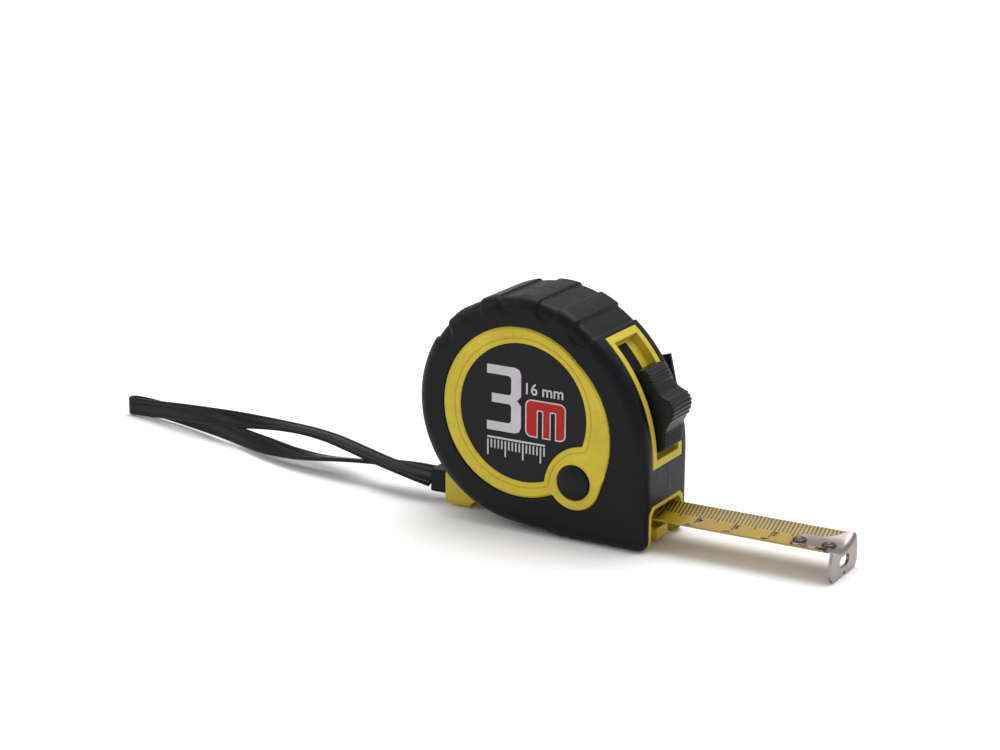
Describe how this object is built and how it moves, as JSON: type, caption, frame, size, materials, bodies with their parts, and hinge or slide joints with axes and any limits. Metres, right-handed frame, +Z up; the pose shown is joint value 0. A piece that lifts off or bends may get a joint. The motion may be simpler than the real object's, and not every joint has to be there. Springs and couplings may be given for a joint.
{
  "type": "tape measure",
  "caption": "Pocket tape measure with rubber grip, thumb lock, side brake buttons, end hook, belt clip and wrist strap.",
  "frame": {"origin": "on the flat base, in the middle of it, 20 mm ahead of the drum axis and on the middle plane of the case", "axes": "+X is the way the blade leaves, +Z is up from the base, and the label with the visible button faces -Y"},
  "size_m": [0.229, 0.0374, 0.0605],
  "materials": {
    "grip_rubber": "satin moulded rubber, charcoal",
    "shell_yellow": "mustard yellow moulded plastic, satin",
    "label_film": "printed dark label film",
    "black_plastic": "black moulded plastic",
    "inner_plastic": "natural acetal",
    "blade_lacquer": "yellow lacquered spring steel with black graduations",
    "hook_nickel": "bright nickel plated steel",
    "spring_steel": "blued spring steel",
    "clip_steel": "black coated steel",
    "zinc_screw": "zinc plated steel",
    "pad_rubber": "soft black rubber",
    "strap_vinyl": "smooth black vinyl strap"
  },
  "bodies": {
    "case": {"left_shell": "shell_yellow", "right_shell": "shell_yellow", "left_grip": "grip_rubber", "right_grip": "grip_rubber", "left_label": "label_film", "right_label": "label_film", "case_screws": "zinc_screw", "belt_clip": "clip_steel", "belt_clip_screw": "zinc_screw", "spindle_post": "inner_plastic", "thrust_washers": "inner_plastic", "hook_bumper": "pad_rubber", "blade_feed": "blade_lacquer", "left_button_spring": "spring_steel", "right_button_spring": "spring_steel", "wrist_strap": "strap_vinyl", "strap_eye": "strap_vinyl", "strap_clamp": "strap_vinyl", "strap_pin": "zinc_screw"},
    "drum": {"drum": "inner_plastic", "drum_lid": "inner_plastic", "power_spring": "spring_steel", "blade_coil": "blade_lacquer"},
    "blade": {"blade_tip": "blade_lacquer", "hook_rivets": "hook_nickel"},
    "hook": {"end_hook": "hook_nickel"},
    "thumb_lock": {"thumb_lock": "black_plastic", "lock_shoe": "pad_rubber"},
    "left_button": {"left_button": "black_plastic", "left_brake_lever": "inner_plastic", "left_brake_pad": "pad_rubber"},
    "right_button": {"right_button": "black_plastic", "right_brake_lever": "inner_plastic", "right_brake_pad": "pad_rubber"}
  },
  "joints": [
    {"name": "drum_turn", "type": "hinge", "parent": "case", "child": "drum", "pos_m": [-0.02, 0, 0.031], "axis": [0, -1, 0], "range_deg": [-146.39, 9286.95]},
    {"name": "blade_slide", "type": "slide", "parent": "case", "child": "blade", "axis": [1, 0, 0], "range_m": [-0.04651, 2.9501], "deforming": ["blade_feed"]},
    {"name": "hook_play", "type": "slide", "parent": "blade", "child": "hook", "axis": [1, 0, 0], "range_m": [-0.0008, 0]},
    {"name": "lock_slide", "type": "hinge", "parent": "case", "child": "thumb_lock", "pos_m": [-0.0264, 0, 0.02153], "axis": [0, -1, 0], "range_deg": [0, 12]},
    {"name": "left_button_press", "type": "slide", "parent": "case", "child": "left_button", "axis": [0, 1, 0], "range_m": [0, 0.0009], "stiffness_N_per_m": 400, "springref_m": -0.0005, "deforming": ["left_button_spring"]},
    {"name": "right_button_press", "type": "slide", "parent": "case", "child": "right_button", "axis": [0, -1, 0], "range_m": [0, 0.0009], "stiffness_N_per_m": 400, "springref_m": -0.0005, "deforming": ["right_button_spring"]}
  ],
  "couplings": [
    {"joint": "blade_slide", "follows": "drum_turn", "m_per_rad": 0.0182}
  ]
}
